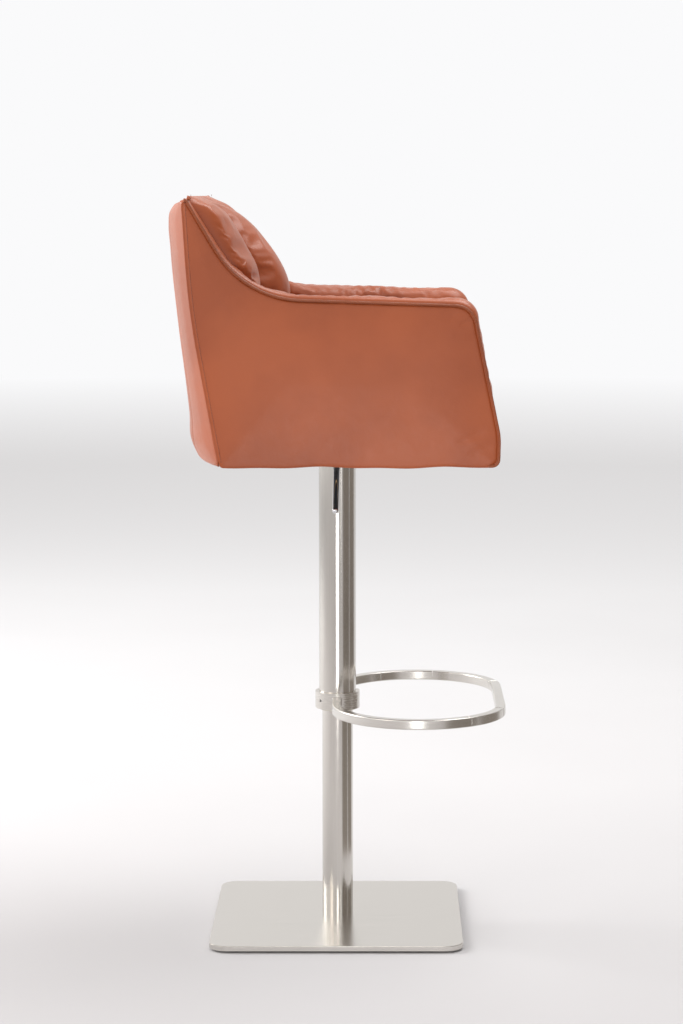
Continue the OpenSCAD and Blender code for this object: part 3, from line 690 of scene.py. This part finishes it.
def cushion_point(u, v, depth, side):
    """Crowned top that rises to the rear over a flat base, with its sides drawn in at their middle."""
    along = np.clip((v - cushion_middle.y) / (cushion_high.y - cushion_low.y), -1, 1)
    draw_in = cushion_draw_in * np.cos(np.pi * along)
    x = u - np.sign(u) * draw_in * (1 - fade(depth, 0, 40 * MM))
    if side > 0:
        rise = cushion_rise * (v - cushion_low.y) / (cushion_high.y - cushion_low.y)
        top = cushion_front_top - 5 * MM + rise + cushion_crown * (1 - np.exp(-depth / (70 * MM)))
        z = cushion_mid_z + (top - cushion_mid_z) * round_off(depth, cushion_round)
    else:
        z = cushion_mid_z + (cushion_low.z - cushion_mid_z) * round_off(depth, 9 * MM)
    return np.column_stack([x, v, z])


def cushion_held(points):
    """The foot of the cushion is glued down."""
    low = 1 - fade(points[:, 2], cushion_low.z + 8 * MM, cushion_low.z + 40 * MM)
    return np.clip(low + 0.1, 0, 1)


cushion = pad("seat_cushion_cover",
              [(cushion_low.x, cushion_low.y, 14 * MM), (cushion_high.x, cushion_low.y, 14 * MM),
               (cushion_high.x, cushion_high.y, 14 * MM), (cushion_low.x, cushion_high.y, 14 * MM)],
              cushion_point)
stuff(cushion, cushion_held, cap=5 * MM)
finish_pad(cushion, leather, "foam_upholstery", 0.85, "seat_cushion")


# ---------------------------------------------------------------- front apron
# Strip of the same leather over thin foam that closes the front edge of the board.

apron_low, apron_high = box_ends("front_apron")


def apron_point(u, v, depth, side):
    """Rounded front face and a nearly flat back."""
    if side > 0:
        y = apron_high.y - 5 * MM + (apron_low.y - apron_high.y + 5 * MM) * round_off(depth, 9 * MM)
    else:
        y = apron_high.y - 5 * MM + 5 * MM * round_off(depth, 3 * MM)
    return np.column_stack([u, y, v])


apron = pad("front_apron_cover",
            [(apron_low.x, apron_low.z, 4 * MM), (apron_high.x, apron_low.z, 4 * MM),
             (apron_high.x, apron_high.z, 4 * MM), (apron_low.x, apron_high.z, 4 * MM)],
            apron_point, step=4 * MM)
finish_pad(apron, leather, "outer_upholstery", 0.9, "front_apron")


# ---------------------------------------------------------------- arms
# Each arm is one padded shape with the stool's side outline. Its cover rolls over the top and the
# front, and upright seams divide the inner face into quilted fields.

shell_low = Vector(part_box("piping_left")[0])
piping_proud = 1 * MM
shell_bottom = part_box("front_apron")[0][2]
shell_front = shell_low.y + piping_proud
back_corner_y = 234 * MM
rear_foot_y = 178 * MM
back_top = shell_bottom + 425 * MM
arm_top = shell_bottom + 248 * MM
arm_rise = 11 * MM
arm_roll = 8 * MM
arm_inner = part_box("arm_pad_left")[0][0]
frame_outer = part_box("side_panel_left")[0][0]
seam_x = 251 * MM
arm_crest_x = 226 * MM
arm_seams = (86 * MM, -69 * MM)


def side_outline(inset=0.0, roll=0.0, rear_inset=None, foot_inset=None):
    """Corners of the side view as (y, z, radius), moved inwards by inset; roll raises the arm's top."""
    corners = [(rear_foot_y, shell_bottom, 6 * MM), (shell_front + 2 * MM, shell_bottom, 12 * MM),
               (shell_front, shell_bottom + 45 * MM, 120 * MM),
               (shell_front + 42 * MM - roll / 3, arm_top + roll, 35 * MM),
               (136 * MM - roll / 3, arm_top + arm_rise + roll, 153 * MM),
               (back_corner_y, back_top, 5 * MM),
               (222 * MM, (shell_bottom + back_top) / 2 + 28 * MM, 1200 * MM)]
    if rear_inset is None:
        rear_inset = inset
    if foot_inset is None:
        foot_inset = inset
    sides = [foot_inset, inset, inset, inset, inset, rear_inset, rear_inset]
    lines = []
    for i, (y, z, _) in enumerate(corners):
        here, there = Vector((y, z)), Vector(corners[(i + 1) % len(corners)][:2])
        run = (there - here).normalized()
        # The corners run clockwise, so the inside is to the right of each side.
        lines.append((here + Vector((run.y, -run.x)) * sides[i], run))
    moved = []
    for i, (_, _, radius) in enumerate(corners):
        (p, u), (q, w) = lines[i - 1], lines[i]
        t = ((q - p).x * w.y - (q - p).y * w.x) / (u.x * w.y - u.y * w.x)
        spot = p + u * t
        turn = u.x * w.y - u.y * w.x
        moved.append((spot.x, spot.y, max(radius + (inset if turn > 0 else -inset), 2 * MM)))
    return moved


seam_line = evenly(rounded(side_outline(4 * MM)), 4 * MM)
# The outline's last two corners and its first make the rear edge, from the top down.
side_arcs = rounded(side_outline())
rear_arcs = np.array([tuple(p) for p in side_arcs[5 * (ARC_STEPS + 1):] + side_arcs[:ARC_STEPS]])[::-1]


def rear_line(z):
    """How far behind the column the side's rear edge is at a height."""
    return np.interp(z, rear_arcs[:, 1], rear_arcs[:, 0])


def arm_cover(side_of):
    """Places the arm's points; side_of is 1 for the left arm and -1 for the right."""
    def point(y, z, depth, side):
        if side > 0:
            beyond = edge_distance(np.column_stack([y, z]), seam_line)
            k = np.where(beyond < 0, depth / np.maximum(depth - beyond, 1e-6), 1)
            x = arm_crest_x + (seam_x - arm_crest_x) * (1 - (1 - k) ** 3) ** (1 / 3)
            x = x - 6 * MM * fade(beyond, -0.5 * MM, 5 * MM)
        else:
            nearest = np.min([np.abs(y - seam) for seam in arm_seams], axis=0)
            quilt = 9 * MM * (1 - np.exp(-nearest / (20 * MM))) * fade(depth, 4 * MM, 45 * MM)
            quilt = quilt * fade(z, cushion_high.z - 5 * MM, cushion_high.z + 45 * MM)
            groove = 3.5 * MM * np.exp(-(nearest / (3 * MM)) ** 2) * fade(depth, 1 * MM, 8 * MM)
            wing = fade(z, 1.04, 1.07)
            reach = (arm_inner - arm_crest_x) * (1 - 0.8 * wing)
            x = arm_crest_x + reach * round_off(depth, 22 * MM, 2.2) + (groove - quilt) * (1 - wing)
        return np.column_stack([side_of * x, y, z])
    return point


def arm_held(points):
    """The arm's cover is fast at its outer seam, its foot, its quilting seams and behind the back."""
    outer = fade(np.abs(points[:, 0]), 238 * MM, 247 * MM)
    low = 1 - fade(points[:, 2], cushion_high.z - 10 * MM, cushion_high.z + 30 * MM)
    seam = np.max([np.exp(-((points[:, 1] - y) / (3 * MM)) ** 2) for y in arm_seams], axis=0)
    rear = fade(points[:, 1], 150 * MM, 200 * MM)
    return np.clip(np.max([outer, low, seam, rear], axis=0), 0.05, 1)


for name, side_of in (("left", 1), ("right", -1)):
    seams = [[(y, shell_bottom), (y, arm_top + 2 * arm_rise)] for y in arm_seams]
    arm = pad(f"arm_cover_{name}", side_outline(0, arm_roll), arm_cover(side_of), seams=seams)
    stuff(arm, arm_held, cap=5 * MM)
    finish_pad(arm, leather, "foam_upholstery", 0.8, f"arm_pad_{name}", f"arm_border_{name}")


# ---------------------------------------------------------------- back cushion
# Three upright channels sewn side by side. The middle one is the fullest and stands furthest
# forward; the cover gathers in small folds at the channels' feet and at the top seam.

back_low, back_high = box_ends("back_cushion")
channel_half = 75 * MM
wing_half = 224 * MM
wing_start = 1.035
# The valleys between the channels are this deep in mm, and shallower by the second value at the top.
valley_depth, valley_rise = 20, 12
valley_rise_from, valley_rise_to = 1.13, 1.185
channel_power, channel_swell = 2.2, 0.6
back_edge_top = 1.182
middle_profile = [(0.797, 96.0), (0.88, 91.0), (0.96, 82.0), (1.01, 78.0), (1.047, 82.0), (1.084, 100.0),
                  (1.11, 119.0), (1.134, 140.0), (1.155, 167.0), (1.175, 203.0), (1.187, 224.0)]
side_profile = [(0.797, 100.0), (0.88, 100.0), (0.96, 108.0), (1.01, 117.0), (1.055, 123.0), (1.072, 127.0),
                (1.098, 141.0), (1.129, 158.0), (1.16, 180.0), (1.18, 208.0), (1.187, 222.0)]


def curve_through(points, at):
    """Smooth curve through a few points, at the given places (Catmull-Rom)."""
    t, v = np.array([p[0] for p in points]), np.array([p[1] for p in points])
    slope = np.gradient(v, t)
    i = np.clip(np.searchsorted(t, at) - 1, 0, len(t) - 2)
    h = t[i + 1] - t[i]
    s = np.clip((at - t[i]) / h, 0, 1)
    return ((2 * s**3 - 3 * s**2 + 1) * v[i] + (s**3 - 2 * s**2 + s) * h * slope[i]
            + (-2 * s**3 + 3 * s**2) * v[i + 1] + (s**3 - s**2) * h * slope[i + 1])


def back_front(x, z):
    """Distance of the back's front face behind the column, with its channels."""
    middle = curve_through(middle_profile, z) * MM
    wing = curve_through(side_profile, z) * MM
    depth = valley_depth - valley_rise * fade(z, valley_rise_from, valley_rise_to)
    valley = np.maximum(middle, wing) + depth * MM
    outer = 3 * channel_half
    inner_t = np.clip(np.abs(x) / channel_half, 0, 1)
    outer_t = np.clip(np.abs((np.abs(x) - channel_half) / (outer - channel_half) * 2 - 1), 0, 1)
    in_middle = valley + (middle - valley) * (1 - inner_t ** channel_power) ** channel_swell
    in_wing = valley + (wing - valley) * (1 - outer_t ** channel_power) ** channel_swell
    return np.where(np.abs(x) < channel_half, in_middle, in_wing)


def back_point(u, v, depth, side):
    """Channelled front face, and a back that follows the shell's rear edge."""
    wing = curve_through(side_profile, v) * MM
    mid = np.minimum(wing + 40 * MM, rear_line(v) - (12 - 13 * fade(v, 1.145, 1.175)) * MM)
    if side > 0:
        front = np.minimum(back_front(u, v), mid + 2 * MM)
        y = mid + (front - mid) * round_off(depth, 14 * MM, 2.4)
    else:
        y = mid + 4 * MM * round_off(depth, 10 * MM)
    return np.column_stack([u, y, v])


def back_held(points):
    """The back's cover is fast at its foot, its channel seams, its side edges and its top."""
    low = 1 - fade(points[:, 2], cushion_high.z - 10 * MM, cushion_high.z + 20 * MM)
    t = np.abs(np.abs(points[:, 0]) - channel_half)
    seam = np.exp(-(t / (3 * MM)) ** 2)
    edge = fade(np.abs(points[:, 0]), wing_half - 8 * MM, wing_half - 1 * MM)
    top = fade(points[:, 2], 1.165, 1.18)
    return np.clip(np.max([low, seam, edge, top], axis=0), 0.05, 1)


back = pad("back_cushion_cover",
           [(back_low.x, back_low.z, 8 * MM), (back_high.x, back_low.z, 8 * MM),
            (back_high.x, wing_start, 20 * MM), (wing_half, wing_start + 40 * MM, 20 * MM),
            (wing_half, back_edge_top, 22 * MM), (-wing_half, back_edge_top, 22 * MM),
            (-wing_half, wing_start + 40 * MM, 20 * MM), (back_low.x, wing_start, 20 * MM)],
           back_point, seams=[[(x, back_low.z), (x, back_edge_top)] for x in (-channel_half, channel_half)])
stuff(back, back_held, cap=6 * MM)
finish_pad(back, leather, "foam_upholstery", 0.75, "back_cushion")


# ---------------------------------------------------------------- side panels
# Outer leather panels over thin wadding, stapled under the board and sewn to the piping; each is
# slightly crowned and dips to its seams.

# Shallow creases as ((y, z), (y, z), depth, width), the last two in mm: two run into the lower front
# corner, and three short ones are puckers at the arm's top front corner.
panel_creases = [((-0.185, 0.806), (-0.228, 0.824), 1.2, 5), ((-0.205, 0.79), (-0.24, 0.8), 0.8, 6),
                 ((-0.19, 0.985), (-0.212, 0.998), 0.8, 4), ((-0.2, 0.967), (-0.222, 0.975), 0.7, 4),
                 ((-0.172, 0.992), (-0.188, 1.006), 0.7, 4)]


def side_cover(side_of):
    """Places a side panel's points; side_of is 1 for the left panel and -1 for the right."""
    def point(y, z, depth, side):
        if side > 0:
            crown = 7 * MM * (1 - np.exp(-depth / (60 * MM)))
            dent = np.sin(y * 23 + 4 * z) * np.sin(z * 19 - 3 * y) * fade(depth, 10 * MM, 60 * MM)
            crown = crown + 0.5 * MM * dent
            x = frame_outer + 0.5 * MM + (3 * MM + crown) * round_off(depth, 6 * MM, 2.6)
            for (y0, z0), (y1, z1), deep, width in panel_creases:
                run = np.array([y1 - y0, z1 - z0])
                t = ((y - y0) * run[0] + (z - z0) * run[1]) / (run @ run)
                away = np.hypot(y - y0 - run[0] * np.clip(t, 0, 1), z - z0 - run[1] * np.clip(t, 0, 1))
                ends = fade(t, -0.1, 0.3) * (1 - fade(t, 0.7, 1.1))
                x = x - deep * MM * np.exp(-(away / (width * MM)) ** 2) * ends
        else:
            x = frame_outer + 0 * depth
        wave = (1.1 * np.sin(y * 31 + 1) + 0.7 * np.sin(y * 67)) * MM
        z = z + wave * (1 - fade(z, shell_bottom, shell_bottom + 50 * MM))
        return np.column_stack([side_of * x, y, z])
    return point


for name, side_of in (("left", 1), ("right", -1)):
    panel = pad(f"side_cover_{name}", side_outline(4 * MM, 0, 2 * MM, -1 * MM), side_cover(side_of))
    finish_pad(panel, leather, "outer_upholstery", 0.9, f"side_panel_{name}")


# ---------------------------------------------------------------- rear panel
# Crowned leather back in three upright fields, sewn to the side panels and folded under the board.

rear_half = frame_outer + 2.5 * MM
rear_seams = (-120 * MM, 120 * MM)
rear_top = 1.183
rear_groove = 2.2 * MM
field_swell = 2 * MM
field_reach = 16 * MM
rear_crown = [(0.769, 44.0), (0.785, 49.0), (0.84, 44.0), (0.93, 38.0), (1.0, 35.0), (1.1, 35.5),
              (1.14, 35.5), (1.165, 30.0), (1.176, 19.0), (1.183, 1.0)]


def rear_point(u, v, depth, side):
    """Crowned rear face with a groove along each seam."""
    foot = rear_line(v)
    crown = curve_through(rear_crown, v) * MM * np.maximum(1 - (u / rear_half) ** 2, 0) ** 0.85
    nearest = np.min([np.abs(u - x) for x in rear_seams], axis=0)
    groove = rear_groove * np.exp(-(nearest / rear_groove) ** 2) * fade(depth, 2 * MM, 12 * MM)
    field = field_swell * (1 - np.exp(-nearest / field_reach)) * fade(depth, 5 * MM, 40 * MM)
    outer = foot + crown - groove + field
    y = outer if side > 0 else outer - 6 * MM * round_off(depth, 5 * MM) - field
    z = v - 4 * MM * (1 - (u / rear_half) ** 2) * fade(v, 1.12, rear_top)
    return np.column_stack([u, y, z])


rear = pad("rear_cover",
           [(-rear_half, shell_bottom, 4 * MM), (rear_half, shell_bottom, 4 * MM),
            (rear_half, rear_top, 5 * MM), (-rear_half, rear_top, 5 * MM)],
           rear_point, seams=[[(x, shell_bottom), (x, rear_top)] for x in rear_seams])
finish_pad(rear, leather, "outer_upholstery", 0.9, "rear_panel")


# ---------------------------------------------------------------- piping
# Leather folded over a cord, 3.8 mm across, and sewn in between the side panel and the arm, from the
# lower front corner over the arm to the top of the back. It wavers slightly, as sewn piping does.

leather_piping = faux_leather("piping_leather", "#944A24", "#84401E")
piping_radius = 1.9 * MM
piping_x = 253 * MM
piping_start_y = -236 * MM


def front_run(inset, start_y):
    """The side outline's front and top, from the bottom at start_y round to the back's top corner."""
    outline = evenly(rounded(side_outline(inset)), 3 * MM)
    first = int(np.argmin(np.abs(outline[:, 0] - start_y) + 9 * np.abs(outline[:, 1] - shell_bottom - inset)))
    outline = np.roll(outline, -first, axis=0)
    if outline[5, 0] > outline[0, 0]:
        outline = np.roll(outline[::-1], 1, axis=0)
    last = int(np.argmax(outline[:, 1]))
    return outline[:last + 1]


def along_path(name, path, radius, ring=12, waver=0.0, seed=3):
    """Tube along a path of 3-D points, closed at its ends."""
    rng = np.random.default_rng(seed)
    drift = np.convolve(rng.normal(0, 1, len(path) + 20), np.ones(9) / 9, "same")[10:-10] * waver
    sections = []
    for i, spot in enumerate(path):
        run = (path[min(i + 1, len(path) - 1)] - path[max(i - 1, 0)]).normalized()
        one = run.orthogonal().normalized() if abs(run.x) > 0.9 else run.cross(Vector((1, 0, 0))).normalized()
        two = run.cross(one)
        r = radius + drift[i]
        sections.append([spot + one * math.cos(a) * r + two * math.sin(a) * r
                         for a in (2 * math.pi * k / ring for k in range(ring))])
    return loft(name, sections, closed=False)


for name, side_of in (("left", 1), ("right", -1)):
    run = front_run(1.5 * MM, start_y=piping_start_y)
    path = [Vector((side_of * piping_x, y, z)) for y, z in run]
    tube = along_path(f"piping_cover_{name}", path, piping_radius, waver=0.35 * MM, seed=7 + side_of)
    tube.data.materials.append(leather_piping)
    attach(tube, "seat")
    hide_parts(f"piping_{name}")


# ---------------------------------------------------------------- stitching
# Lockstitch in polyester thread, a shade darker than the leather, in 3 mm stitches along the rear
# seams of the side panels.

def thread(name, colour):
    """Twisted polyester: a soft shine and a fine diagonal lay."""
    material = new_material(name)
    place = add_node(material, "TexCoord").outputs["Object"]
    lay = add_node(material, "TexWave", {"Vector": place, "Scale": 1 / (0.5 * MM) / math.tau},
                   bands_direction="DIAGONAL")
    bump = add_node(material, "Bump", {"Height": lay.outputs["Fac"], "Strength": 0.4, "Distance": 0.05 * MM})
    yarn = add_node(material, "BsdfPrincipled", {"Base Color": srgb(colour), "Roughness": 0.5,
                                                 "Sheen Weight": 0.3, "Normal": bump.outputs["Normal"]})
    add_node(material, "OutputMaterial", {"Surface": yarn.outputs["BSDF"]})
    return material


stitch_thread = thread("polyester_thread", "#7A3A22")
stitch_length = 3.0 * MM
stitch_gap = 1.2 * MM
stitch_radius = 0.3 * MM
stitch_x = frame_outer + 4.2 * MM
stitch_from_edge = 6 * MM


def stitches(name, points, outwards):
    """Row of stitches along a path; outwards is the direction in which the thread shows."""
    run = np.array([tuple(p) for p in points])
    length = np.concatenate([[0], np.cumsum(np.linalg.norm(np.diff(run, axis=0), axis=1))])
    rows = []
    start = stitch_gap
    while start + stitch_length < length[-1]:
        ts = start + np.linspace(0, 1, 5) * stitch_length
        spots = [Vector([np.interp(t, length, run[:, k]) for k in range(3)]) for t in ts]
        lifted = [p + outwards * lift * MM for p, lift in zip(spots, (-0.35, 0.15, 0.3, 0.15, -0.35))]
        rows.append(along_path("stitch", lifted, stitch_radius, ring=6))
        start += stitch_length + stitch_gap
    made = joined(name, rows)
    made.data.materials.append(stitch_thread)
    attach(made, "seat")
    return made


for name, side_of in (("left", 1), ("right", -1)):
    heights = np.linspace(shell_bottom + 6 * MM, back_top - 6 * MM, 140)
    path = [Vector((side_of * stitch_x, y - stitch_from_edge, z))
            for y, z in zip(rear_line(heights), heights)]
    stitches(f"rear_stitching_{name}", path, Vector((side_of, 0, 0)))


# The back's channels, the rear panel's fields and the arms' quilted fields meet in a sunk seam. A dark
# tube with a thread's shading, 1.8 mm across, lies along each: it is painted shade in the seam's groove.
seam_shade_material = thread("painted_seam_shade", "#4A2417")
seam_shade_radius = 0.9 * MM
arm_edge = evenly(rounded(side_outline(0, arm_roll)), 4 * MM)


def painted_seam_line(name, spots):
    """Dark tube of painted shade along a seam's points on the cover's surface."""
    line = along_path(name, [Vector(spot) for spot in spots.tolist()], seam_shade_radius, ring=8)
    line.data.materials.append(seam_shade_material)
    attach(line, "seat")


def upright(place, across, low, high):
    """Points up a panel, well inside its edges; place gives the cover's surface there."""
    heights = np.linspace(low, high, 60)
    return place(np.full(len(heights), across), heights, np.full(len(heights), 60 * MM), 1)


def over_arm(side_of, y):
    """Points up the arm's inner face from the cushion to its crest."""
    heights = np.linspace(cushion_high.z, arm_top + 2 * arm_rise + arm_roll, 90)
    ys = np.full(len(heights), y)
    depth = edge_distance(np.column_stack([ys, heights]), arm_edge)
    inside = depth > 0.3 * MM
    return arm_cover(side_of)(ys[inside], heights[inside], depth[inside], -1)


# Lines of painted shade up the rear panel's, the back's and the arms' seams.
for side, side_of in (("left", 1), ("right", -1)):
    painted_seam_line(f"rear_seam_{side}",
              upright(rear_point, side_of * rear_seams[1], shell_bottom + 12 * MM, rear_top - 14 * MM))
    painted_seam_line(f"back_seam_{side}",
              upright(back_point, side_of * channel_half, cushion_high.z, back_edge_top - 14 * MM))
    for number, y in enumerate(arm_seams):
        painted_seam_line(f"arm_seam_{side}_{number + 1}", over_arm(side_of, y))


# ---------------------------------------------------------------- dust cover
# Black non-woven cloth stapled under the board round the seat plate. It hangs a little slack
# between its staples.

def non_woven(name):
    """Spun-bonded polypropylene: matt, with a pressed dot every 2 mm."""
    material = new_material(name)
    place = add_node(material, "TexCoord").outputs["Object"]
    dots = add_node(material, "TexVoronoi", {"Vector": place, "Scale": 1 / (2 * MM), "Randomness": 0.15})
    bump = add_node(material, "Bump", {"Height": dots.outputs["Distance"], "Strength": 0.5,
                                       "Distance": 0.15 * MM})
    cloth = add_node(material, "BsdfPrincipled", {"Base Color": srgb("#202022"), "Roughness": 0.9,
                                                  "Sheen Weight": 0.2, "Normal": bump.outputs["Normal"]})
    add_node(material, "OutputMaterial", {"Surface": cloth.outputs["BSDF"]})
    return material


dust_low, dust_high = box_ends("dust_cover")
plate_low, plate_high = box_ends("seat_plate")
dust_sag = 1.5 * MM
dust_rear_bow = 36 * MM
dust_cells = 72
plate_gap = 3 * MM


def dust_sheet():
    """Flat cloth with a square hole for the seat plate; it sags between the plate and its own edges."""
    edit = bmesh.new()
    bmesh.ops.create_grid(edit, x_segments=dust_cells, y_segments=dust_cells, size=0.5)
    span = dust_high - dust_low
    reach = max(-plate_low.x, plate_high.x) + plate_gap
    for corner in edit.verts:
        x = corner.co.x * span.x
        depth = span.y - dust_rear_bow * (x / frame_outer) ** 2
        y = dust_low.y + (corner.co.y + 0.5) * depth
        from_edge = min(span.x / 2 - abs(x), y - dust_low.y, dust_low.y + depth - y)
        from_plate = max(abs(x), abs(y)) - reach
        slack = min(max(min(from_edge, from_plate) / (35 * MM), 0), 1)
        corner.co = Vector((x, y, dust_high.z - 0.3 * MM - dust_sag * math.sin(slack * math.pi / 2)))
    hidden = [f for f in edit.faces if max(abs(c) for c in f.calc_center_median()[:2]) < reach]
    bmesh.ops.delete(edit, geom=hidden, context="FACES")
    mesh = bpy.data.meshes.new("dust_cover_cloth")
    edit.to_mesh(mesh)
    edit.free()
    mesh.shade_smooth()
    piece = placed("dust_cover_cloth", mesh)
    return piece


dust = dust_sheet()
dust.data.materials.append(non_woven("black_non_woven_cloth"))
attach(dust, "seat")
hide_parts("dust_cover")
